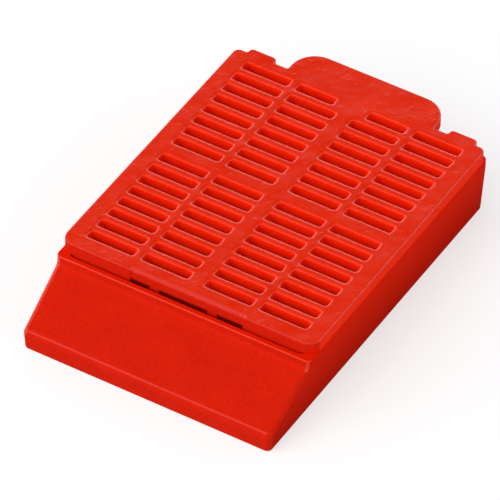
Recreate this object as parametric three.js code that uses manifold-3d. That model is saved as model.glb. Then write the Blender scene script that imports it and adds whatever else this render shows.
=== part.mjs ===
// Tissue processing cassette: a slotted tray with a slanted writing face and a slotted lid
// that hooks behind the front wall and swings up about its front edge.
// Millimetres. +Z is up, +Y runs from the writing face to the finger tab, +X to the right.
// Inside the file everything is laid out from the front lip (y = 0); the group is moved
// at the end so that its origin is the middle of the footprint, on the table.

import * as THREE from 'three';
import { mergeVertices } from 'three/addons/utils/BufferGeometryUtils.js';
import Module from 'manifold-3d';

// ---- tray -------------------------------------------------------------------------
const trayWidth = 28.5;
const trayLength = 40.37;
const trayHeight = 6.72;
const sideDraft = 0.3; // how far a side wall leans in on its way down to the foot
const rearDraft = 0.15;
const rimBand = 1.0; // upright strip round the top of the walls
const wallThickness = 0.95;
const frontWallThickness = 0.62;
const floorThickness = 1.0;
const frontCornerRadius = 0.6;
const rearCornerRadius = 0.8;
const chamberCornerRadius = 0.8;
const footRadius = 0.3; // rounding all round the underside
const footSteps = 2;

// ---- slanted writing face ------------------------------------------------------------
const writingRun = 6.6;
const lipHeight = 2.12;
const lipDraft = 0.08;
const writingThickness = 1.0;
const lipThickness = 1.0;

// ---- lid --------------------------------------------------------------------------
const plateThickness = 1.0;
const lidStandoff = 0.42; // underside of the plate above the rim
const edgeRadius = 0.38; // rounding of the plate's top edges and of every slot
const edgeSteps = 2;
const lidRearSetback = 0.45; // lid stops short of the tray's rear face
const lidFrontRadius = 1.35;
const lidRearRadius = 0.9;
const fitClearance = 0.12;
const skirtThickness = 0.6;
const skirtDepth = 0.95; // below the rim
const recessHalfWidth = 6.35;
const recessDepth = 0.2;
const recessGap = 0.15; // left open between the rim and the plate's lip over the legs

// ---- finger tab and rear lugs -----------------------------------------------------------
const tabToLug = 1.6;
const tabReach = 3.4;
const tabRadius = 2.7;
const lugWidth = 3.05;
const lugReach = 0.7;
const lugInset = 2.8; // from the lid's side to the lug's middle
const lugRadius = 0.45;
const innerCornerRadius = 0.2;

// ---- slots ------------------------------------------------------------------------
const slotWidth = 0.96;
const slotPitch = 1.835;
const slotRadius = 0.25;
const crossBand = 0.92; // extra material between the two halves of the rows
const slotToSkirt = 0.27; // skirt's inside to the slot ends
const columnGap = 0.98;
const spineWidth = 1.86; // solid strip down the middle
const frontBorder = 1.0; // least room between the skirt and the first row
const rearBorder = 0.05;
const padWidth = 3.84; // solid pad in the middle of the rear row

// ---- hinge: two hooked legs on the lid under a bead on the front wall -----------------------
const beadReach = 0.3;
const beadHeight = 0.4;
const beadDrop = 0.5; // rim to the top of the bead
const legWidth = 1.1;
const legThickness = 0.6;
const legSpacing = 6.5; // middle to middle
const legShift = -0.45; // the pair stands a little to the left of the middle
const toeThickness = 0.5;
const legClearance = 0.1;
const toeClearance = 0.07;

// ---- derived places ----------------------------------------------------------------
const halfWidth = trayWidth / 2;
const taperTop = trayHeight - rimBand;
const frontWallInner = writingRun + frontWallThickness;
const lidFront = frontWallInner + fitClearance;
const lidRear = trayLength - lidRearSetback;
const plateBottom = trayHeight + lidStandoff;
const lidTop = plateBottom + plateThickness;
const beadTop = trayHeight - beadDrop;
const overallLength = lidRear + tabReach;
const skirtHalfWidth = halfWidth - wallThickness - fitClearance;
const skirtRear = trayLength - wallThickness - fitClearance;
const skirtInnerHalfWidth = skirtHalfWidth - skirtThickness;
const skirtInnerFront = lidFront + skirtThickness;
const skirtInnerRear = skirtRear - skirtThickness;
const barWidth = Math.min(slotPitch - slotWidth, columnGap);
const topRounding = Math.min(edgeRadius, 0.45 * barWidth); // the bars between slots limit it
const lugMiddle = halfWidth - lugInset;
const tabHalfWidth = lugMiddle - lugWidth / 2 - tabToLug;
const spare = 1; // how far a cutting tool runs past what it cuts
const arcStepsPerRadian = 2.5;

const wasm = await Module();
wasm.setup();

function toSolid(geometry) {
  const bare = geometry.clone();
  bare.deleteAttribute('normal');
  bare.deleteAttribute('uv');
  const merged = mergeVertices(bare, 1e-5);
  return new wasm.Manifold(new wasm.Mesh({
    numProp: 3,
    vertProperties: new Float32Array(merged.attributes.position.array),
    triVerts: new Uint32Array(merged.index.array),
  }));
}

function toGeometry(solid) {
  const mesh = solid.getMesh();
  const geometry = new THREE.BufferGeometry();
  geometry.setAttribute('position', new THREE.BufferAttribute(mesh.vertProperties, 3));
  geometry.setIndex(new THREE.BufferAttribute(mesh.triVerts, 1));
  geometry.computeVertexNormals();
  return geometry;
}

// A closed outline from [x, y, radius] corners, each corner rounded by its own arc.
function filletedOutline(corners) {
  const points = [];
  corners.forEach(([x, y, radius], i) => {
    const corner = new THREE.Vector2(x, y);
    const [px, py] = corners[(i + corners.length - 1) % corners.length];
    const [nx, ny] = corners[(i + 1) % corners.length];
    const back = new THREE.Vector2(px, py).sub(corner);
    const ahead = new THREE.Vector2(nx, ny).sub(corner);
    back.normalize();
    ahead.normalize();
    if (radius === 0) {
      points.push(corner);
      return;
    }
    const halfAngle = Math.acos(THREE.MathUtils.clamp(back.dot(ahead), -1, 1)) / 2;
    const run = radius / Math.tan(halfAngle);
    const centre = back.clone().add(ahead).normalize();
    centre.multiplyScalar(radius / Math.sin(halfAngle)).add(corner);
    const start = back.clone().multiplyScalar(run).add(corner).sub(centre);
    const end = ahead.clone().multiplyScalar(run).add(corner).sub(centre);
    let sweep = end.angle() - start.angle();
    if (sweep > Math.PI) sweep -= 2 * Math.PI;
    if (sweep < -Math.PI) sweep += 2 * Math.PI;
    const steps = Math.max(2, Math.round(arcStepsPerRadian * Math.sqrt(radius) * Math.abs(sweep)));
    for (let k = 0; k <= steps; k += 1) {
      const angle = start.angle() + sweep * k / steps;
      points.push(new THREE.Vector2(Math.cos(angle), Math.sin(angle))
        .multiplyScalar(radius).add(centre));
    }
  });
  return points;
}

// Four rounded corners, counter-clockwise from the front left.
function rectangle(x0, y0, x1, y1, frontRadius, rearRadius = frontRadius) {
  return filletedOutline([
    [x0, y0, frontRadius], [x1, y0, frontRadius], [x1, y1, rearRadius], [x0, y1, rearRadius],
  ]);
}

// A prism standing on its outline, from z0 to z1, with optional holes.
function prism(outline, z0, z1, holes = []) {
  const shape = new THREE.Shape(outline);
  shape.holes = holes.map((hole) => new THREE.Path(hole));
  const geometry = new THREE.ExtrudeGeometry(shape, { depth: z1 - z0, bevelEnabled: false });
  return toSolid(geometry.translate(0, 0, z0));
}

// A bar lying along X with a (y, z) section.
function sideProfile(section, x0, x1) {
  const shape = new THREE.Shape(section.map(([y, z]) => new THREE.Vector2(y, z)));
  const geometry = new THREE.ExtrudeGeometry(shape, { depth: x1 - x0, bevelEnabled: false });
  const alongX = new THREE.Matrix4().makeBasis(
    new THREE.Vector3(0, 1, 0), new THREE.Vector3(0, 0, 1), new THREE.Vector3(1, 0, 0));
  return toSolid(geometry.applyMatrix4(alongX).translate(x0, 0, 0));
}

function box(x0, y0, z0, x1, y1, z1) {
  const geometry = new THREE.BoxGeometry(x1 - x0, y1 - y0, z1 - z0);
  return toSolid(geometry.translate((x0 + x1) / 2, (y0 + y1) / 2, (z0 + z1) / 2));
}

// A skin through stacked outlines that have the same number of points, capped at both ends.
function loft(sections) {
  const count = sections[0].outline.length;
  const positions = sections.flatMap(({ outline, z }) => outline.flatMap((p) => [p.x, p.y, z]));
  const index = [];
  for (let s = 0; s < sections.length - 1; s += 1) {
    for (let i = 0; i < count; i += 1) {
      const j = (i + 1) % count;
      const low = s * count;
      const high = low + count;
      index.push(low + i, low + j, high + j, low + i, high + j, high + i);
    }
  }
  const cap = THREE.ShapeUtils.triangulateShape(sections[0].outline, []);
  const top = (sections.length - 1) * count;
  cap.forEach(([a, b, c]) => index.push(c, b, a, top + a, top + b, top + c));
  const geometry = new THREE.BufferGeometry();
  geometry.setAttribute('position', new THREE.Float32BufferAttribute(positions, 3));
  geometry.setIndex(index);
  return toSolid(geometry);
}

// How far a drafted wall stands in at height z; nothing within the rim band.
function draftAt(z, draft) {
  return draft * Math.max(0, 1 - z / taperTop);
}

// Plan of the tray at height z, moved in from its drafted sides and rear by an inset.
function trayPlan(z, front, inset, frontRadius, rearRadius) {
  const half = halfWidth - draftAt(z, sideDraft) - inset;
  const rear = trayLength - draftAt(z, rearDraft) - inset;
  return { z, outline: rectangle(-half, front, half, rear, frontRadius, rearRadius) };
}

// ---- slot pattern, shared by the lid and the tray's floor ---------------------------------
const fieldLength = skirtInnerRear - rearBorder - skirtInnerFront - frontBorder - slotWidth;
const rowsPerHalf = Math.floor((fieldLength - crossBand + slotPitch) / (2 * slotPitch));
const patternLength = (2 * rowsPerHalf - 1) * slotPitch + crossBand;
const firstRow = skirtInnerRear - rearBorder - slotWidth / 2 - patternLength;
const slotSpan = (skirtInnerHalfWidth - slotToSkirt - spineWidth / 2 - columnGap) / 2;

function slotOutlines() {
  const outlines = [];
  for (let row = 0; row < 2 * rowsPerHalf; row += 1) {
    const y = firstRow + row * slotPitch + (row >= rowsPerHalf ? crossBand : 0);
    const isRearRow = row === 2 * rowsPerHalf - 1;
    [-1, 1].forEach((side) => {
      const inner = isRearRow ? padWidth / 2 : spineWidth / 2;
      const middle = spineWidth / 2 + slotSpan;
      [[inner, middle], [middle + columnGap, middle + columnGap + slotSpan]].forEach(([a, b]) => {
        const x0 = Math.min(side * a, side * b);
        const x1 = Math.max(side * a, side * b);
        outlines.push(rectangle(x0, y - slotWidth / 2, x1, y + slotWidth / 2, slotRadius));
      });
    });
  }
  return outlines;
}

function buildTray() {
  // The lip leans in a little and reaches y = 0 where the writing face starts.
  const outerPlan = (z, inset = 0) => trayPlan(
    z, lipDraft * (1 - z / lipHeight) + inset, inset, frontCornerRadius, rearCornerRadius);
  const footPlans = [];
  for (let k = 0; k <= footSteps; k += 1) {
    const angle = k / footSteps * Math.PI / 2;
    footPlans.push(outerPlan(
      footRadius * (1 - Math.cos(angle)), footRadius * (1 - Math.sin(angle))));
  }
  const outer = loft([...footPlans, outerPlan(taperTop), outerPlan(trayHeight)]);

  const writingSide = sideProfile([
    [-spare, lipHeight - spare * (taperTop - lipHeight) / writingRun],
    [writingRun, taperTop],
    [writingRun, trayHeight + spare],
    [-spare, trayHeight + spare],
  ], -trayWidth, trayWidth);

  // Specimen chamber, open at the top.
  const chamberPlan = (z) => trayPlan(
    z, frontWallInner, wallThickness, chamberCornerRadius, chamberCornerRadius);
  const chamber = loft([
    chamberPlan(floorThickness),
    chamberPlan(taperTop),
    { z: trayHeight + spare, outline: chamberPlan(trayHeight).outline },
  ]);

  // Hollow under the writing face, open at the foot.
  const slope = Math.atan2(taperTop - lipHeight, writingRun);
  const underside = (y) => lipHeight + Math.tan(slope) * y - writingThickness / Math.cos(slope);
  const wedgeSide = sideProfile([
    [lipThickness, -spare],
    [writingRun, -spare],
    [writingRun, underside(writingRun)],
    [lipThickness, underside(lipThickness)],
  ], -trayWidth, trayWidth);
  const wedgePlan = (z) => trayPlan(z, lipThickness, wallThickness, frontCornerRadius / 2, 0);
  const wedge = loft([
    { z: -spare, outline: wedgePlan(0).outline },
    wedgePlan(taperTop),
  ]).intersect(wedgeSide);

  const floorSlots = toSolid(new THREE.ExtrudeGeometry(
    slotOutlines().map((outline) => new THREE.Shape(outline)),
    { depth: floorThickness + 2 * spare, bevelEnabled: false },
  ).translate(0, 0, -spare));

  // The bead that the lid's toes catch under, sloped below so that it leaves its mould.
  const bead = sideProfile([
    [frontWallInner - frontWallThickness / 2, beadTop],
    [frontWallInner, beadTop],
    [frontWallInner + beadReach, beadTop - beadHeight / 2],
    [frontWallInner + beadReach, beadTop - beadHeight],
    [frontWallInner - frontWallThickness / 2, beadTop - beadHeight],
  ], -recessHalfWidth, recessHalfWidth);

  return outer.subtract(writingSide).subtract(chamber).subtract(wedge).subtract(floorSlots).add(bead);
}

// Plan of the lid's plate, counter-clockwise from the front left corner.
function plateOutline() {
  const right = [
    [halfWidth, lidFront, lidFrontRadius],
    [halfWidth, lidRear, lidRearRadius],
    [lugMiddle + lugWidth / 2, lidRear, innerCornerRadius],
    [lugMiddle + lugWidth / 2, lidRear + lugReach, lugRadius],
    [lugMiddle - lugWidth / 2, lidRear + lugReach, lugRadius],
    [lugMiddle - lugWidth / 2, lidRear, innerCornerRadius],
    [tabHalfWidth, lidRear, innerCornerRadius],
    [tabHalfWidth, lidRear + tabReach, tabRadius],
  ];
  const left = right.map(([x, y, radius]) => [-x, y, radius]).reverse();
  return filletedOutline([...right, ...left]);
}

// The grille plate: its outline and all slots are rounded over at the top in one extrusion.
function buildPlate() {
  const shape = new THREE.Shape(plateOutline());
  shape.holes = slotOutlines().map((outline) => new THREE.Path(outline));
  const rounded = toSolid(new THREE.ExtrudeGeometry(shape, {
    depth: plateThickness - topRounding,
    bevelThickness: topRounding,
    bevelSize: topRounding,
    bevelOffset: -topRounding,
    bevelSegments: edgeSteps,
  }).translate(0, 0, plateBottom));
  const belowPlate = box(
    -trayWidth, -spare, plateBottom - spare, trayWidth, overallLength + spare, plateBottom);
  return rounded.subtract(belowPlate);
}

// Finger recess in the middle of the lid's front edge, rounded over like the plate's rim.
function recessTool() {
  const recessFront = lidFront + recessDepth;
  const arc = new THREE.Path();
  arc.absarc(
    recessFront + topRounding, lidTop - topRounding, topRounding, Math.PI, Math.PI / 2, true);
  return sideProfile([
    [lidFront - spare, trayHeight - skirtDepth - spare],
    [recessFront, trayHeight - skirtDepth - spare],
    ...arc.getPoints(edgeSteps).map(({ x, y }) => [x, y]),
    [recessFront + topRounding, lidTop + spare],
    [lidFront - spare, lidTop + spare],
  ], -recessHalfWidth, recessHalfWidth);
}

function buildLid() {
  const hollow = rectangle(
    -skirtInnerHalfWidth, skirtInnerFront, skirtInnerHalfWidth, skirtInnerRear,
    chamberCornerRadius / 2);
  const footOutline = rectangle(
    -halfWidth, lidFront, halfWidth, lidRear, lidFrontRadius, lidRearRadius);
  const foot = prism(footOutline, trayHeight, plateBottom, [hollow]);
  const skirtOutline = rectangle(
    -skirtHalfWidth, lidFront, skirtHalfWidth, skirtRear, chamberCornerRadius);
  const skirt = prism(skirtOutline, trayHeight - skirtDepth, plateBottom, [hollow]);
  const frontGap = box(
    -recessHalfWidth, lidFront - spare, trayHeight - skirtDepth - spare,
    recessHalfWidth, skirtInnerFront + fitClearance, trayHeight + recessGap);

  const legFront = frontWallInner + beadReach + legClearance;
  const toeTop = beadTop - beadHeight - legClearance;
  const legSection = [
    [legFront, plateBottom + plateThickness / 2],
    [legFront, toeTop],
    [frontWallInner + toeClearance, toeTop],
    [frontWallInner + toeClearance, toeTop - toeThickness],
    [legFront + legThickness, toeTop - toeThickness],
    [legFront + legThickness, plateBottom + plateThickness / 2],
  ];

  let lid = buildPlate().add(foot).add(skirt).subtract(frontGap).subtract(recessTool());
  [-1, 1].forEach((side) => {
    const x = legShift + side * legSpacing / 2;
    lid = lid.add(sideProfile(legSection, x - legWidth / 2, x + legWidth / 2));
  });
  return lid;
}

const mouldedRed = (roughness) => new THREE.MeshStandardMaterial({
  color: 0xdd2412, roughness, metalness: 0,
});

const tray = new THREE.Mesh(toGeometry(buildTray()), mouldedRed(0.5));
tray.name = 'tray';
const lid = new THREE.Mesh(toGeometry(buildLid()), mouldedRed(0.35));
lid.name = 'lid';

const cassette = new THREE.Group();
cassette.add(tray, lid);
cassette.position.y = -overallLength / 2;

export default cassette;
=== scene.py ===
import math

import bmesh
import bpy
from mathutils import Matrix, Vector


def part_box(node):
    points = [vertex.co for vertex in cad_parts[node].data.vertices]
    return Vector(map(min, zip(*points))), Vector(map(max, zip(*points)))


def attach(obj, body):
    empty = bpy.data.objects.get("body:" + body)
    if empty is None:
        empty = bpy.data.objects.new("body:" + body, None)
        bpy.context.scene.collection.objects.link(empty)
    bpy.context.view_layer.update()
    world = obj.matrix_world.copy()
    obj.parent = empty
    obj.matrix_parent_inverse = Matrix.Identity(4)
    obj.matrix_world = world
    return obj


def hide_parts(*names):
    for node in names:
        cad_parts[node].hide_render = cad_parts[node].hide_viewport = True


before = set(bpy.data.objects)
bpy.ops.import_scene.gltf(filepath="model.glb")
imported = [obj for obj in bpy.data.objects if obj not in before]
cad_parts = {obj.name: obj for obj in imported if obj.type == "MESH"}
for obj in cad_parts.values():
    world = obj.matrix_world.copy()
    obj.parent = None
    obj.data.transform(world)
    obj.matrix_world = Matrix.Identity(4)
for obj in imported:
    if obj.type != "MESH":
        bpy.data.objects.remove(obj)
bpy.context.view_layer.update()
scene = bpy.context.scene

# the pieces are modelled in millimetres in the frame's own axes, and scaled to metres at the end
millimetre = 0.001
overlap = 0.003  # how far the mouth of a slot or recess tool stands outside the face it cuts
margin = 1.0  # how far a cutting tool reaches past the piece, where its exact reach doesn't matter
near = 0.001  # places closer together than this are the same place
trayLow, trayHigh = (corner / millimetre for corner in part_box("tray"))
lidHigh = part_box("lid")[1] / millimetre
rimHeight = trayHigh.z
frontEdge = trayLow.y
rearEdge = trayHigh.y
halfWidth = trayHigh.x
lidTop = lidHigh.z


def uprightEdges(bm):
    # edges that run up and down, and hardly sideways
    shortest = 0.2
    upright = []
    for edge in bm.edges:
        along = edge.verts[0].co - edge.verts[1].co
        if abs(along.z) > shortest and along.xy.length < 0.5 * abs(along.z):
            upright.append(edge)
    return upright


def lowest(edge):
    return min(vert.co.z for vert in edge.verts)


def highest(edge):
    return max(vert.co.z for vert in edge.verts)


def edgesAtHeight(bm, z):
    return [edge for edge in bm.edges if all(abs(vert.co.z - z) < near for vert in edge.verts)]


def vertsOf(geometry):
    return [item for item in geometry if isinstance(item, bmesh.types.BMVert)]


def roundEdges(bm, edges, radius, segments, clamp=True):
    bmesh.ops.bevel(bm, geom=edges, offset=radius, offset_type='OFFSET', segments=segments,
                    profile=0.5, affect='EDGES', material=-1, clamp_overlap=clamp)


def bodyFrom(bm, name):
    bmesh.ops.remove_doubles(bm, verts=bm.verts, dist=0.0005)
    bmesh.ops.recalc_face_normals(bm, faces=bm.faces)
    mesh = bpy.data.meshes.new(name)
    bm.to_mesh(mesh)
    bm.free()
    body = bpy.data.objects.new(name, mesh)
    scene.collection.objects.link(body)
    return body


def combine(body, tool, operation='DIFFERENCE'):
    # joins a tool to a body or cuts it out, and throws the tool away
    step = body.modifiers.new(operation.title(), 'BOOLEAN')
    step.operation = operation
    step.solver = 'MANIFOLD'
    step.object = tool
    depsgraph = bpy.context.evaluated_depsgraph_get()
    shaped = bpy.data.meshes.new_from_object(body.evaluated_get(depsgraph))
    body.modifiers.remove(step)
    body.data = shaped
    bpy.data.objects.remove(tool)


def symmetricPlan(rightSide):
    # the right-hand corners, front to rear, and their mirror images
    return rightSide + [(-x, y, radius) for x, y, radius in reversed(rightSide)]


def standingOutline(corners, low, high):
    # a block on a plan of (x, y, radius) corners, each upright edge rounded by its own radius
    bm = bmesh.new()
    plan = bm.faces.new([bm.verts.new((x, y, low)) for x, y, radius in corners])
    raised = bmesh.ops.extrude_face_region(bm, geom=[plan])["geom"]
    bmesh.ops.translate(bm, vec=(0, 0, high - low), verts=vertsOf(raised))
    for wanted in sorted({radius for x, y, radius in corners if radius > 0}):
        spots = [Vector((x, y)) for x, y, radius in corners if radius == wanted]
        chosen = [edge for edge in uprightEdges(bm)
                  if any((edge.verts[0].co.xy - spot).length < near for spot in spots)]
        roundEdges(bm, chosen, wanted, 8 if wanted > 1 else 5)
    return bm


def lyingProfile(section, left, right):
    # a bar along X with a (y, z) section
    bm = bmesh.new()
    end = bm.faces.new([bm.verts.new((left, y, z)) for y, z in section])
    drawn = bmesh.ops.extrude_face_region(bm, geom=[end])["geom"]
    bmesh.ops.translate(bm, vec=(right - left, 0, 0), verts=vertsOf(drawn))
    bmesh.ops.recalc_face_normals(bm, faces=bm.faces)
    return bm


def flaredTool(length, width, cornerRadius, flare, flareDepth, depth, segments=5):
    # a cutting tool whose mouth, at z = 0, opens out in a rounded lip that may be shallower than wide
    bm = bmesh.new()
    lift = 0.5  # the part of the tool that stands above the face
    bmesh.ops.create_cube(bm, size=1)
    bmesh.ops.scale(bm, vec=(length + 2 * flare, width + 2 * flare, lift), verts=bm.verts)
    bmesh.ops.translate(bm, vec=(0, 0, lift / 2), verts=bm.verts)
    roundEdges(bm, uprightEdges(bm), cornerRadius + flare, 6)
    mouth = min(bm.faces, key=lambda face: face.calc_center_median().z)
    bmesh.ops.inset_region(bm, faces=[mouth], thickness=flare, use_even_offset=True)
    drawn = bmesh.ops.extrude_face_region(bm, geom=[mouth])["geom"]
    flatten = flareDepth / flare
    bmesh.ops.translate(bm, vec=(0, 0, -depth / flatten), verts=vertsOf(drawn))
    bmesh.ops.delete(bm, geom=[mouth], context='FACES_ONLY')
    bmesh.ops.recalc_face_normals(bm, faces=bm.faces)
    neck = [edge for edge in edgesAtHeight(bm, 0)
            if any(face.calc_center_median().z < -0.3 * depth for face in edge.link_faces)]
    roundEdges(bm, neck, 0.97 * flare, segments)  # just short of the mouth's border
    bmesh.ops.scale(bm, vec=(1, 1, flatten), verts=bm.verts)
    return bm


def slotPlan():
    # (middle x, middle y, length) of every slot in the pattern
    plan = []
    rows = 2 * slots["rowsPerHalf"]
    middle = slots["spineWidth"] / 2 + slots["length"]
    outer = middle + slots["columnGap"]
    for row in range(rows):
        y = slots["firstRow"] + row * slots["pitch"]
        if row >= slots["rowsPerHalf"]:
            y += slots["crossBand"]
        inner = (slots["padWidth"] if row == rows - 1 else slots["spineWidth"]) / 2
        for side in (-1, 1):
            plan.append((side * (inner + middle) / 2, y, middle - inner))
            plan.append((side * (outer + slots["length"] / 2), y, slots["length"]))
    return plan


def cutSlots(body, height, flare, flareDepth, depth, upward=True):
    # one tool for each length of slot, repeated over the pattern and cut in one go
    plan = slotPlan()
    gang = bmesh.new()
    for length in sorted({round(entry[2], 4) for entry in plan}):
        tool = flaredTool(length, slots["width"], slots["cornerRadius"], flare, flareDepth, depth)
        if not upward:
            bmesh.ops.scale(tool, vec=(1, 1, -1), verts=tool.verts)
        single = bpy.data.meshes.new("slotTool")
        tool.to_mesh(single)
        tool.free()
        for x, y, slotLength in plan:
            if round(slotLength, 4) == length:
                known = set(gang.verts)
                gang.from_mesh(single)
                added = [vert for vert in gang.verts if vert not in known]
                bmesh.ops.translate(gang, vec=(x, y, height), verts=added)
        bpy.data.meshes.remove(single)
    combine(body, bodyFrom(gang, "slotTools"))


def finishPiece(body, name, materials, chooseMaterial):
    # to metres, smooth with true edges, a material for each face
    mesh = body.data
    bm = bmesh.new()
    bm.from_mesh(mesh)
    bmesh.ops.remove_doubles(bm, verts=bm.verts, dist=0.0008)
    bmesh.ops.dissolve_degenerate(bm, edges=bm.edges, dist=0.0005)
    bmesh.ops.scale(bm, vec=(millimetre,) * 3, verts=bm.verts)
    bm.to_mesh(mesh)
    bm.free()
    body.name = name
    mesh.name = name
    mesh.materials.clear()
    for material in materials:
        mesh.materials.append(material)
    for polygon in mesh.polygons:
        polygon.use_smooth = True
        chosen = chooseMaterial(polygon.center / millimetre, polygon.normal)
        polygon.material_index = materials.index(chosen)
    mesh.set_sharp_from_angle(angle=math.radians(38))
    weighted = body.modifiers.new("EvenNormals", 'WEIGHTED_NORMAL')
    weighted.mode = 'FACE_AREA'
    weighted.weight = 60
    weighted.keep_sharp = True


def addMath(tree, operation, *values):
    # each value is a number, or the socket that feeds it
    node = tree.nodes.new('ShaderNodeMath')
    node.operation = operation
    for socket, value in zip(node.inputs, values):
        if isinstance(value, bpy.types.NodeSocket):
            tree.links.new(value, socket)
        else:
            socket.default_value = value
    return node.outputs["Value"]


def addNoise(tree, place, scale, detail, roughness=0.5, distortion=0):
    node = tree.nodes.new('ShaderNodeTexNoise')
    node.inputs["Detail"].default_value = detail
    node.inputs["Roughness"].default_value = roughness
    node.inputs["Distortion"].default_value = distortion
    tree.links.new(place, node.inputs["Vector"])
    if isinstance(scale, bpy.types.NodeSocket):
        tree.links.new(scale, node.inputs["Scale"])
    else:
        node.inputs["Scale"].default_value = scale
    return node.outputs["Fac"]


def addRange(tree, value, low, high, toLow=0, toHigh=1, smooth=False):
    node = tree.nodes.new('ShaderNodeMapRange')
    node.interpolation_type = 'SMOOTHSTEP' if smooth else 'LINEAR'
    node.inputs["From Min"].default_value = low
    node.inputs["From Max"].default_value = high
    node.inputs["To Min"].default_value = toLow
    node.inputs["To Max"].default_value = toHigh
    tree.links.new(value, node.inputs["Value"])
    return node.outputs["Result"]


# scales are per metre, and the last entry is how many metres up the painted shade at the foot gives way to
# the full colour
moulding = {
    "cloudScale": 260, "waveScale": 420, "fleckScale": 1700, "flowScale": 210, "flowWarp": 1.4,
    "paintedFootShadeTop": 0.0062,
}


def buildMouldedSurface():
    # what all moulded acetal shows: cloudiness in the colour, flow waviness and a fine spark-eroded grain,
    # with painted shade darkening the colour towards the foot
    group = bpy.data.node_groups.new("mouldedSurface", 'ShaderNodeTree')
    for name in ("Clear Colour", "Cloudy Colour"):
        group.interface.new_socket(name=name, in_out='INPUT', socket_type='NodeSocketColor')
    for name in ("Roughness", "Roughness Spread", "Grain Scale", "Grain Height", "Wave Height",
                 "Fleck Height", "Wisp Height", "Speckle", "Painted Foot Shade"):
        group.interface.new_socket(name=name, in_out='INPUT', socket_type='NodeSocketFloat')
    group.interface.new_socket(name="Colour", in_out='OUTPUT', socket_type='NodeSocketColor')
    group.interface.new_socket(name="Surface Roughness", in_out='OUTPUT', socket_type='NodeSocketFloat')
    group.interface.new_socket(name="Height", in_out='OUTPUT', socket_type='NodeSocketFloat')
    nodes, links = group.nodes, group.links
    entry = nodes.new('NodeGroupInput').outputs
    leave = nodes.new('NodeGroupOutput').inputs
    place = nodes.new('ShaderNodeTexCoord').outputs["Object"]

    cloud = addRange(group, addNoise(group, place, moulding["cloudScale"], 4, roughness=0.6), 0.35, 0.68)
    colourMix = nodes.new('ShaderNodeMix')
    colourMix.data_type = 'RGBA'
    links.new(cloud, colourMix.inputs["Factor"])
    links.new(entry["Clear Colour"], colourMix.inputs["A"])
    links.new(entry["Cloudy Colour"], colourMix.inputs["B"])

    # a fine speckle, and painted shade that darkens the walls a little towards the foot
    grain = addNoise(group, place, entry["Grain Scale"], 2)
    speckle = addMath(group, 'MULTIPLY_ADD', addRange(group, grain, 0.3, 0.7, toLow=-1), entry["Speckle"], 1)
    split = nodes.new('ShaderNodeSeparateXYZ')
    links.new(place, split.inputs["Vector"])
    foot = nodes.new('ShaderNodeMapRange')
    foot.inputs["From Max"].default_value = moulding["paintedFootShadeTop"]
    links.new(split.outputs["Z"], foot.inputs["Value"])
    links.new(entry["Painted Foot Shade"], foot.inputs["To Min"])
    footShaded = nodes.new('ShaderNodeVectorMath')
    footShaded.operation = 'SCALE'
    links.new(colourMix.outputs["Result"], footShaded.inputs["Vector"])
    links.new(addMath(group, 'MULTIPLY', speckle, foot.outputs["Result"]), footShaded.inputs["Scale"])
    links.new(footShaded.outputs["Vector"], leave["Colour"])

    # the height adds up the grain, slow waves, small flecks and faint curved flow marks
    height = addMath(group, 'MULTIPLY', grain, entry["Grain Height"])
    wave = addNoise(group, place, moulding["waveScale"], 1)
    height = addMath(group, 'MULTIPLY_ADD', wave, entry["Wave Height"], height)
    fleck = addRange(group, addNoise(group, place, moulding["fleckScale"], 2), 0.60, 0.74, smooth=True)
    height = addMath(group, 'MULTIPLY_ADD', fleck, entry["Fleck Height"], height)
    flow = addNoise(group, place, moulding["flowScale"], 2, distortion=moulding["flowWarp"])
    aside = addMath(group, 'ABSOLUTE', addMath(group, 'SUBTRACT', flow, 0.5))
    ridge = addRange(group, aside, 0, 0.07, toLow=1, toHigh=0, smooth=True)
    wisp = addMath(group, 'MULTIPLY', ridge, cloud)
    height = addMath(group, 'MULTIPLY_ADD', wisp, entry["Wisp Height"], height)
    links.new(height, leave["Height"])

    patchy = addMath(group, 'MULTIPLY_ADD', cloud, entry["Roughness Spread"], entry["Roughness"])
    links.new(patchy, leave["Surface Roughness"])
    return group


def mouldedPlastic(name, look):
    material = bpy.data.materials.new(name)
    material.use_nodes = True
    nodes, links = material.node_tree.nodes, material.node_tree.links
    shader = nodes["Principled BSDF"]
    surface = nodes.new('ShaderNodeGroup')
    surface.node_tree = mouldedSurface
    surface.inputs["Clear Colour"].default_value = (*look["clear"], 1)
    surface.inputs["Cloudy Colour"].default_value = (*look["cloudy"], 1)
    for socket, key in (
        ("Roughness", "roughness"), ("Roughness Spread", "roughnessSpread"), ("Grain Scale", "grainScale"),
        ("Grain Height", "grainHeight"), ("Wave Height", "waveHeight"), ("Fleck Height", "fleckHeight"),
        ("Wisp Height", "wispHeight"), ("Speckle", "speckle"), ("Painted Foot Shade", "paintedFootShade"),
    ):
        surface.inputs[socket].default_value = look[key]
    bump = nodes.new('ShaderNodeBump')
    bump.inputs["Strength"].default_value = look["bumpStrength"]
    bump.inputs["Distance"].default_value = look["bumpDepth"]
    links.new(surface.outputs["Colour"], shader.inputs["Base Color"])
    links.new(surface.outputs["Surface Roughness"], shader.inputs["Roughness"])
    links.new(surface.outputs["Height"], bump.inputs["Height"])
    links.new(bump.outputs["Normal"], shader.inputs["Normal"])
    shader.inputs["Specular IOR Level"].default_value = look["specular"]
    shader.inputs["IOR"].default_value = 1.48
    material.diffuse_color = (*look["clear"], 1)
    return material


mouldedSurface = buildMouldedSurface()

# in each look the foot value is painted shade, darkening the colour towards the foot; 1 leaves it even
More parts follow.
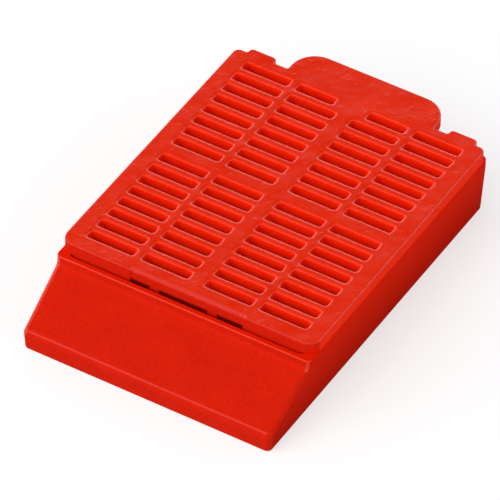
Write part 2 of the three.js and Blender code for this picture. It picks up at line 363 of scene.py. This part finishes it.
lidPlasticLook = {
    "clear": (0.740, 0.0180, 0.0008), "cloudy": (0.780, 0.0230, 0.0020),
    "roughness": 0.17, "roughnessSpread": 0.08, "specular": 0.5,
    "grainScale": 5600, "grainHeight": 0.3, "waveHeight": 12.0, "fleckHeight": 1.6, "wispHeight": 1.2,
    "bumpStrength": 0.5, "bumpDepth": 0.00002, "speckle": 0.03, "paintedFootShade": 1.0,
}
edgePlasticLook = {
    "clear": (0.700, 0.0160, 0.0010), "cloudy": (0.740, 0.0200, 0.0020),
    "roughness": 0.24, "roughnessSpread": 0.10, "specular": 0.45,
    "grainScale": 5600, "grainHeight": 0.6, "waveHeight": 3.0, "fleckHeight": 0.6, "wispHeight": 0.0,
    "bumpStrength": 0.5, "bumpDepth": 0.00002, "speckle": 0.04, "paintedFootShade": 0.8,
}
wallPlasticLook = {
    "clear": (0.690, 0.0105, 0.0002), "cloudy": (0.710, 0.0125, 0.0004),
    "roughness": 0.45, "roughnessSpread": 0.08, "specular": 0.01,
    "grainScale": 5600, "grainHeight": 0.8, "waveHeight": 1.5, "fleckHeight": 0.2, "wispHeight": 0.0,
    "bumpStrength": 0.5, "bumpDepth": 0.00002, "speckle": 0.05, "paintedFootShade": 0.66,
}
# a brighter copy of the red, painted light for the shaded chamber, the slots and the lid's sides
paintedLightPlasticLook = {
    "clear": (0.960, 0.0200, 0.0006), "cloudy": (0.980, 0.0240, 0.0010),
    "roughness": 0.45, "roughnessSpread": 0.08, "specular": 0.04,
    "grainScale": 5600, "grainHeight": 0.5, "waveHeight": 0.8, "fleckHeight": 0.0, "wispHeight": 0.0,
    "bumpStrength": 0.25, "bumpDepth": 0.00002, "speckle": 0.02, "paintedFootShade": 1.0,
}
# a rough speckled strip on the tray's lip; on the lid's front rounding it is a darker copy of the red,
# painted shade
lipStripAndPaintedShadePlasticLook = {
    "clear": (0.600, 0.0115, 0.0008), "cloudy": (0.640, 0.0140, 0.0016),
    "roughness": 0.42, "roughnessSpread": 0.16, "specular": 0.42,
    "grainScale": 2600, "grainHeight": 3.2, "waveHeight": 3.0, "fleckHeight": 1.0, "wispHeight": 0.0,
    "bumpStrength": 0.8, "bumpDepth": 0.00003, "speckle": 0.08, "paintedFootShade": 1.0,
}
# a near-black copy of the red, painted shade behind the lid's recess
paintedShadePlasticLook = {
    "clear": (0.220, 0.0060, 0.0010), "cloudy": (0.240, 0.0070, 0.0014),
    "roughness": 0.60, "roughnessSpread": 0.06, "specular": 0.02,
    "grainScale": 5600, "grainHeight": 0.5, "waveHeight": 0.8, "fleckHeight": 0.0, "wispHeight": 0.0,
    "bumpStrength": 0.25, "bumpDepth": 0.00002, "speckle": 0.02, "paintedFootShade": 1.0,
}
# the writing face's matt finish; on the lid's front faces it is a darker copy of the red, painted shade
writingMattAndPaintedShadePlasticLook = {
    "clear": (0.570, 0.0100, 0.0008), "cloudy": (0.600, 0.0120, 0.0016),
    "roughness": 0.72, "roughnessSpread": 0.06, "specular": 0.07,
    "grainScale": 5200, "grainHeight": 1.6, "waveHeight": 0.3, "fleckHeight": 0.2, "wispHeight": 0.0,
    "bumpStrength": 0.7, "bumpDepth": 0.00003, "speckle": 0.10, "paintedFootShade": 1.0,
}
lidPlastic = mouldedPlastic("lidPlastic", lidPlasticLook)
edgePlastic = mouldedPlastic("edgePlastic", edgePlasticLook)
wallPlastic = mouldedPlastic("wallPlastic", wallPlasticLook)
paintedLightPlastic = mouldedPlastic("paintedLightPlastic", paintedLightPlasticLook)
lipStripAndPaintedShadePlastic = mouldedPlastic("lipStripAndPaintedShadePlastic", lipStripAndPaintedShadePlasticLook)
paintedShadePlastic = mouldedPlastic("paintedShadePlastic", paintedShadePlasticLook)
writingMattAndPaintedShadePlastic = mouldedPlastic("writingMattAndPaintedShadePlastic", writingMattAndPaintedShadePlasticLook)
print("materials made")


slots = {
    "width": 1.02, "length": 5.2, "cornerRadius": 0.22,
    "pitch": 1.835, "crossBand": 0.92, "rowsPerHalf": 8,
    "spineWidth": 1.86, "columnGap": 0.98, "padWidth": 3.84,
    "firstRow": -11.93,
}

tray = {
    "writingRun": 6.6, "lipHeight": 2.12, "lipDraft": 0.03, "rimBand": 1.0,
    "sideDraft": 0.42, "rearDraft": 0.06,
    "wall": 0.95, "frontWall": 0.62, "floor": 1.0,
    "rearCorner": 0.6, "writingEdge": 0.55, "crease": 0.6, "rimEdge": 0.14, "footEdge": 0.18,
    "chamberCorner": 0.8, "chamberFoot": 0.5, "innerRimEdge": 0.12,
    "wedgeWall": 1.0, "wedgeCorner": 0.35,
    "beadReach": 0.3, "beadHeight": 0.4, "beadDrop": 0.5, "beadHalfLength": 6.35, "beadRoot": 0.3,
    "slotFlare": 0.16, "slotReach": 1.6,
}
taperTop = rimHeight - tray["rimBand"]
wallOuter = frontEdge + tray["writingRun"]
wallInner = wallOuter + tray["frontWall"]
writingNormal = Vector((0, tray["lipHeight"] - taperTop, tray["writingRun"])).normalized()


def creasePoints(steps=5):
    # the soft inside corner between the writing face and the rim band, from the band down
    turn = math.pi / 2 - math.atan2(taperTop - tray["lipHeight"], tray["writingRun"])
    middleY = wallOuter - tray["crease"]
    middleZ = taperTop + tray["crease"] * math.tan(turn / 2)
    angles = [-turn * step / steps for step in range(steps + 1)]
    return [
        (middleY + tray["crease"] * math.cos(angle), middleZ + tray["crease"] * math.sin(angle))
        for angle in angles
    ]


def draftSides(bm):
    # below the rim band the sides and the rear lean in towards the foot
    for vert in bm.verts:
        lean = max(0, 1 - vert.co.z / taperTop)
        vert.co.x -= math.copysign(tray["sideDraft"] * lean, vert.co.x)
        if vert.co.y > rearEdge - near:
            vert.co.y -= tray["rearDraft"] * lean


def buildTray():
    # one section from front to rear, drawn across the width and then drafted
    section = [
        (frontEdge + tray["lipDraft"], 0), (rearEdge, 0), (rearEdge, taperTop), (rearEdge, rimHeight),
        (wallOuter, rimHeight), *creasePoints(), (frontEdge, tray["lipHeight"]),
    ]
    bm = lyingProfile(section, -halfWidth, halfWidth)
    bmesh.ops.bisect_plane(bm, geom=bm.verts[:] + bm.edges[:] + bm.faces[:], dist=0.0001,
                           plane_co=(0, 0, taperTop), plane_no=(0, 0, 1))
    draftSides(bm)
    rearUprights = [edge for edge in uprightEdges(bm) if edge.verts[0].co.y > rearEdge - 1]
    roundEdges(bm, rearUprights, tray["rearCorner"], 6)

    # the lip's corners, the border of the writing face and the ends of the rim band are rounded together
    bm.normal_update()
    writingFace = max((face for face in bm.faces if face.normal.dot(writingNormal) > 0.999),
                      key=lambda face: face.calc_area())
    lipUprights = [edge for edge in uprightEdges(bm) if highest(edge) < tray["lipHeight"] + 0.1]
    writingBorder = [edge for edge in writingFace.edges if lowest(edge) < taperTop - 0.3]
    bandEnds = [edge for edge in bm.edges if lowest(edge) > taperTop - 0.3
                and all(abs(vert.co.x) > halfWidth - 0.3 for vert in edge.verts)
                and all(vert.co.y < wallOuter + near for vert in edge.verts)
                and abs(edge.verts[0].co.x - edge.verts[1].co.x) < 0.1]
    roundEdges(bm, lipUprights + writingBorder + bandEnds, tray["writingEdge"], 5, clamp=False)
    roundEdges(bm, edgesAtHeight(bm, rimHeight), tray["rimEdge"], 3)
    roundEdges(bm, edgesAtHeight(bm, 0), tray["footEdge"], 3)
    body = bodyFrom(bm, "tray")

    # the chamber leans in towards its floor as the sides do
    chamberRear = rearEdge - tray["wall"]
    chamberHalf = halfWidth - tray["wall"]
    chamberDepth = rimHeight - tray["floor"]
    bm = flaredTool(2 * chamberHalf, chamberRear - wallInner, tray["chamberCorner"],
                    tray["innerRimEdge"], tray["innerRimEdge"], chamberDepth, 3)
    for vert in bm.verts:
        if vert.co.z < -0.5 * chamberDepth:
            vert.co.x *= 1 - tray["sideDraft"] / chamberHalf
            if vert.co.y > 0:
                vert.co.y -= tray["rearDraft"]
    roundEdges(bm, edgesAtHeight(bm, -chamberDepth), tray["chamberFoot"], 4)
    bmesh.ops.translate(bm, vec=(0, (chamberRear + wallInner) / 2, rimHeight), verts=bm.verts)
    combine(body, bodyFrom(bm, "chamberTool"))

    # the hollow behind the writing face, open underneath, with a ceiling that follows the slope
    slope = (taperTop - tray["lipHeight"]) / tray["writingRun"]
    ceilingAtWall = taperTop - tray["wedgeWall"] * math.hypot(1, slope)
    wedgeFront = frontEdge + tray["wedgeWall"]
    wedgeHalf = halfWidth - tray["wall"]
    bm = lyingProfile([
        (wedgeFront, -margin), (wallOuter, -margin), (wallOuter, ceilingAtWall),
        (wedgeFront, ceilingAtWall - slope * (wallOuter - wedgeFront)),
    ], -wedgeHalf, wedgeHalf)
    for vert in bm.verts:
        vert.co.x *= 1 - tray["sideDraft"] / wedgeHalf * max(0, 1 - max(vert.co.z, 0) / taperTop)
    roundEdges(bm, [edge for edge in bm.edges if highest(edge) > 0], tray["wedgeCorner"], 4)
    combine(body, bodyFrom(bm, "wedgeTool"))

    # the bead that the lid's legs hook under
    beadTop = rimHeight - tray["beadDrop"]
    beadFoot = beadTop - tray["beadHeight"]
    beadRear = wallInner + tray["beadReach"]
    bm = lyingProfile([
        (wallInner - tray["beadRoot"], beadTop), (wallInner - tray["beadRoot"], beadFoot),
        (beadRear, beadFoot), (beadRear, beadTop - tray["beadHeight"] / 2), (wallInner, beadTop),
    ], -tray["beadHalfLength"], tray["beadHalfLength"])
    combine(body, bodyFrom(bm, "bead"), 'UNION')

    cutSlots(body, -overlap, tray["slotFlare"], tray["slotFlare"], tray["slotReach"], upward=False)
    return body


def trayMaterial(middle, normal):
    # painted light in the chamber, matt on the writing face and rim band, polished on their edges, else plain
    inChamber = abs(middle.x) < halfWidth - 0.5 and wallInner + 0.6 < middle.y < rearEdge - 0.5
    # painted light: the chamber and the tray's slots take the brighter copy of the red
    if inChamber and middle.z < rimHeight - 0.02:
        return paintedLightPlastic
    atFront = middle.y < wallOuter + 0.4 and middle.z > tray["footEdge"]
    if not atFront or normal.y > 0.2:
        return wallPlastic
    if middle.z > rimHeight - tray["rimEdge"] - 0.02:
        return wallPlastic if normal.z > 0.985 else edgePlastic
    if abs(normal.x) > 0.985:
        return wallPlastic
    if normal.x < -0.1:
        return edgePlastic if normal.z > 0.1 or middle.z > taperTop else writingMattAndPaintedShadePlastic
    if normal.x > 0.17:
        return edgePlastic if middle.z > taperTop - 0.2 and 0.4 < normal.x < 0.75 else writingMattAndPaintedShadePlastic
    alongLip = middle.z > tray["lipHeight"] - 0.2 and middle.y < frontEdge + 1
    return lipStripAndPaintedShadePlastic if alongLip and 0.6 < normal.z < 0.72 else writingMattAndPaintedShadePlastic


trayPiece = buildTray()
trayPlastics = [wallPlastic, writingMattAndPaintedShadePlastic, edgePlastic, paintedLightPlastic, lipStripAndPaintedShadePlastic]
finishPiece(trayPiece, "trayMoulding", trayPlastics, trayMaterial)
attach(trayPiece, "tray")
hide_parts("tray")
print("tray made")


lid = {
    "plate": 1.22, "edge": 0.5, "frontCorner": 1.35, "rearCorner": 0.65, "clearance": 0.12,
    "rearSetback": 0.45, "frontClearance": 0.2,
    "skirt": 0.6, "skirtDepth": 0.95, "skirtCorner": 0.68, "skirtRoot": 0.2, "pocketReach": 3.0,
    "recessHalf": 6.35, "recessDepth": 0.2, "recessCorner": 0.15, "recessReach": 1.0, "recessCut": 3.0,
    "recessGap": 0.04, "recessSetback": 0.35,
    "tabHalf": 8.325, "tabCorner": 2.7, "innerCorner": 0.2,
    "lugMiddle": 11.45, "lugHalf": 1.525, "lugReach": 0.7, "lugCorner": 0.45,
    "legMiddles": (-3.7, 2.8), "legHalf": 0.55, "legThickness": 0.6, "legClearance": 0.1, "legRoot": 0.3,
    "toeClearance": 0.07, "toeThickness": 0.5,
    "slotFlare": 0.42, "slotFlareDepth": 0.22, "slotReach": 2.0,
}
lidFront = wallInner + lid["frontClearance"]
lidRear = rearEdge - lid["rearSetback"]


def cutBlock(body, rightSide, low, high, name):
    combine(body, bodyFrom(standingOutline(symmetricPlan(rightSide), low, high), name))


def buildLid():
    # the plate's outline runs from the front corner past the lug to the finger tab
    underPlate = lidTop - lid["plate"]
    lugOuter, lugInner = (lid["lugMiddle"] + side * lid["lugHalf"] for side in (1, -1))
    lugRear = lidRear + lid["lugReach"]
    rightSide = [
        (halfWidth, lidFront, lid["frontCorner"]), (halfWidth, lidRear, lid["rearCorner"]),
        (lugOuter, lidRear, lid["innerCorner"]), (lugOuter, lugRear, lid["lugCorner"]),
        (lugInner, lugRear, lid["lugCorner"]), (lugInner, lidRear, lid["innerCorner"]),
        (lid["tabHalf"], lidRear, lid["innerCorner"]), (lid["tabHalf"], lidHigh.y, lid["tabCorner"]),
    ]
    bm = standingOutline(symmetricPlan(rightSide), rimHeight, lidTop)
    roundEdges(bm, edgesAtHeight(bm, lidTop), lid["edge"], 5)
    body = bodyFrom(bm, "lid")

    # the skirt hangs inside the tray's walls, and one pocket hollows it and leaves the plate
    skirtHalf = halfWidth - tray["wall"] - lid["clearance"]
    skirtRear = rearEdge - tray["wall"] - lid["clearance"]
    skirtFoot = rimHeight - lid["skirtDepth"]
    skirtPlan = [(skirtHalf, lidFront, lid["skirtCorner"]), (skirtHalf, skirtRear, lid["skirtCorner"])]
    bm = standingOutline(symmetricPlan(skirtPlan), skirtFoot, rimHeight + lid["skirtRoot"])
    combine(body, bodyFrom(bm, "skirt"), 'UNION')
    pocketHalf = skirtHalf - lid["skirt"]
    pocketCorner = lid["skirtCorner"] / 2
    pocketPlan = [
        (pocketHalf, lidFront + lid["skirt"], pocketCorner),
        (pocketHalf, skirtRear - lid["skirt"], pocketCorner),
    ]
    cutBlock(body, pocketPlan, rimHeight - lid["pocketReach"], underPlate, "pocketTool")
    cutSlots(body, lidTop + overlap, lid["slotFlare"], lid["slotFlareDepth"], lid["slotReach"])

    # nothing but the plate goes over the rear wall
    overhangPlan = [(halfWidth + margin, lidRear, 0), (halfWidth + margin, lidHigh.y + margin, 0)]
    cutBlock(body, overhangPlan, rimHeight - margin, underPlate, "overhangTool")

    # behind the recess the skirt stands back, which leaves openings above the rim beside the legs
    gapPlan = [(lid["recessHalf"], lidFront - margin, 0),
               (lid["recessHalf"], lidFront + lid["recessSetback"], 0)]
    cutBlock(body, gapPlan, rimHeight - lid["pocketReach"], rimHeight + lid["recessGap"], "gapTool")
    recess = flaredTool(2 * lid["recessHalf"], 2 * lid["recessReach"], lid["recessCorner"],
                        lid["edge"], lid["edge"], lid["recessCut"])
    recessMiddle = lidFront + lid["recessDepth"] - lid["recessReach"]
    bmesh.ops.translate(recess, vec=(0, recessMiddle, lidTop + overlap), verts=recess.verts)
    combine(body, bodyFrom(recess, "recessTool"))

    # the hooked legs reach under the bead
    legFront = wallInner + tray["beadReach"] + lid["legClearance"]
    legRear = legFront + lid["legThickness"]
    legTop = underPlate + lid["legRoot"]
    toeTop = rimHeight - tray["beadDrop"] - tray["beadHeight"] - lid["legClearance"]
    toeFoot = toeTop - lid["toeThickness"]
    toeFront = wallInner + lid["toeClearance"]
    legSection = [
        (legFront, legTop), (legFront, toeTop), (toeFront, toeTop),
        (toeFront, toeFoot), (legRear, toeFoot), (legRear, legTop),
    ]
    for middle in lid["legMiddles"]:
        leg = bodyFrom(lyingProfile(legSection, middle - lid["legHalf"], middle + lid["legHalf"]), "leg")
        combine(body, leg, 'UNION')
    return body


def lidMaterial(middle, normal):
    # polished on top, softer and with painted shade along the front edge, painted shade on the front faces
    # and behind the recess, painted light on the sides, underneath and in the slots, plain on the corners
    # painted shade: the lid's front edge rounding takes the rougher, darker lip copy
    if normal.z > 0.12:
        return lipStripAndPaintedShadePlastic if middle.y < wallInner + 1 and normal.y < -0.3 else lidPlastic
    # painted shade: the face behind the recess takes the near-black copy
    behindRecess = abs(middle.y - lidFront - lid["recessSetback"]) < 0.1
    if behindRecess and middle.z < rimHeight + lid["recessGap"] and normal.y < -0.85:
        return paintedShadePlastic
    # painted shade: the lid's front faces take the darker matt copy
    if middle.y < wallInner + 1.5 and middle.z > rimHeight - lid["skirtDepth"] and normal.y < -0.2:
        return writingMattAndPaintedShadePlastic if normal.y < -0.85 else wallPlastic
    if middle.z < rimHeight and middle.y < wallInner + 1.2:
        return wallPlastic
    # painted light: the lid's sides, underside and slot walls take the brighter copy of the red
    if middle.z < rimHeight - 0.05 or abs(normal.x) > 0.8:
        return paintedLightPlastic
    return wallPlastic if middle.y > rearEdge - 1.3 else paintedLightPlastic


lidPiece = buildLid()
lidPlastics = [lidPlastic, wallPlastic, paintedLightPlastic, writingMattAndPaintedShadePlastic, paintedShadePlastic, lipStripAndPaintedShadePlastic]
finishPiece(lidPiece, "lidMoulding", lidPlastics, lidMaterial)
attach(lidPiece, "lid")
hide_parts("lid")
print("lid made")


# sizes and distances in metres
studio = {
    "floorSeen": (0.42, 0.42, 0.42), "floorBounce": (0.55, 0.55, 0.55),
    "floorGlow": 0.6, "floorSize": 3.0, "footprint": (0.0136, 0.0180), "footprintEdge": 0.98,
    "horizonLevel": 1.6, "overheadLevel": 0.03, "horizonTop": 0.29, "overheadFoot": 0.73,
    "keyPower": 14.6, "keySize": 1.5, "keyDistance": 1.2, "keyDirection": (-0.28, -0.50, 0.82),
}


def floorPaper():
    # the camera sees white paper with a soft shadow, which doesn't glow under the tray
    material = bpy.data.materials.new("floorPaper")
    material.use_nodes = True
    tree = material.node_tree
    nodes, links = tree.nodes, tree.links
    shader = nodes["Principled BSDF"]
    shader.inputs["Roughness"].default_value = 0.9
    shader.inputs["Specular IOR Level"].default_value = 0.1
    shader.inputs["Emission Strength"].default_value = studio["floorGlow"]
    seen = nodes.new('ShaderNodeLightPath').outputs["Is Camera Ray"]
    tone = nodes.new('ShaderNodeMix')
    tone.data_type = 'RGBA'
    tone.inputs["A"].default_value = (*studio["floorBounce"], 1)
    tone.inputs["B"].default_value = (*studio["floorSeen"], 1)
    links.new(seen, tone.inputs["Factor"])
    links.new(tone.outputs["Result"], shader.inputs["Base Color"])
    place = nodes.new('ShaderNodeTexCoord')
    split = nodes.new('ShaderNodeSeparateXYZ')
    links.new(place.outputs["Object"], split.inputs["Vector"])
    halfAcross, halfAlong = studio["footprint"]
    across = addMath(tree, 'ABSOLUTE', addMath(tree, 'DIVIDE', split.outputs["X"], halfAcross))
    along = addMath(tree, 'ABSOLUTE', addMath(tree, 'DIVIDE', split.outputs["Y"], halfAlong))
    farther = addMath(tree, 'MAXIMUM', across, along)
    outside = addRange(tree, farther, studio["footprintEdge"], 1)
    links.new(addMath(tree, 'MULTIPLY', seen, outside), shader.inputs["Emission Color"])
    return material


def buildFloor():
    bm = bmesh.new()
    bmesh.ops.create_grid(bm, x_segments=1, y_segments=1, size=studio["floorSize"] / 2)
    mesh = bpy.data.meshes.new("floor")
    bm.to_mesh(mesh)
    bm.free()
    mesh.materials.append(floorPaper())
    floor = bpy.data.objects.new("floor", mesh)
    scene.collection.objects.link(floor)


def addSoftbox(name, direction, distance, size, power):
    light = bpy.data.lights.new(name, 'AREA')
    light.shape = 'SQUARE'
    light.size = size
    light.energy = power
    lamp = bpy.data.objects.new(name, light)
    towards = Vector(direction).normalized()
    lamp.location = towards * distance
    lamp.rotation_euler = towards.to_track_quat('Z', 'Y').to_euler()
    lamp.visible_glossy = False
    scene.collection.objects.link(lamp)


def buildWorld():
    # a room that is white round the horizon and dimmer overhead
    world = bpy.data.worlds.new("studio")
    world.use_nodes = True
    nodes, links = world.node_tree.nodes, world.node_tree.links
    background = nodes["Background"]
    background.inputs["Color"].default_value = (1, 1, 1, 1)
    direction = nodes.new('ShaderNodeTexCoord')
    split = nodes.new('ShaderNodeSeparateXYZ')
    fade = nodes.new('ShaderNodeMapRange')
    fade.interpolation_type = 'SMOOTHSTEP'
    fade.inputs["From Min"].default_value = studio["horizonTop"]
    fade.inputs["From Max"].default_value = studio["overheadFoot"]
    fade.inputs["To Min"].default_value = studio["horizonLevel"]
    fade.inputs["To Max"].default_value = studio["overheadLevel"]
    links.new(direction.outputs["Generated"], split.inputs["Vector"])
    links.new(split.outputs["Z"], fade.inputs["Value"])
    links.new(fade.outputs["Result"], background.inputs["Strength"])
    scene.world = world


buildFloor()
buildWorld()
addSoftbox("keySoftbox", studio["keyDirection"], studio["keyDistance"], studio["keySize"], studio["keyPower"])
scene.view_settings.view_transform = 'Standard'


# angles in degrees, distance and aim in metres, lens and sensor in millimetres
viewpoint = {
    "azimuth": 31.349, "elevation": 43.286, "roll": 0.119,
    "distance": 0.68634, "aim": (-0.00096, -0.00092, 0.00253), "lens": 509.6, "sensor": 36.0,
}


def addCamera():
    data = bpy.data.cameras.new("camera")
    data.lens = viewpoint["lens"]
    data.sensor_width = viewpoint["sensor"]
    camera = bpy.data.objects.new("camera", data)
    azimuth, elevation, roll = (math.radians(viewpoint[key]) for key in ("azimuth", "elevation", "roll"))
    swing = Matrix.Rotation(azimuth, 4, 'Z')
    tilt = Matrix.Rotation(math.pi / 2 - elevation, 4, 'X')
    retreat = Matrix.Translation((0, 0, viewpoint["distance"]))
    place = Matrix.Translation(viewpoint["aim"])
    camera.matrix_world = place @ swing @ tilt @ retreat @ Matrix.Rotation(roll, 4, 'Z')
    scene.collection.objects.link(camera)
    scene.camera = camera


addCamera()
print("studio set")
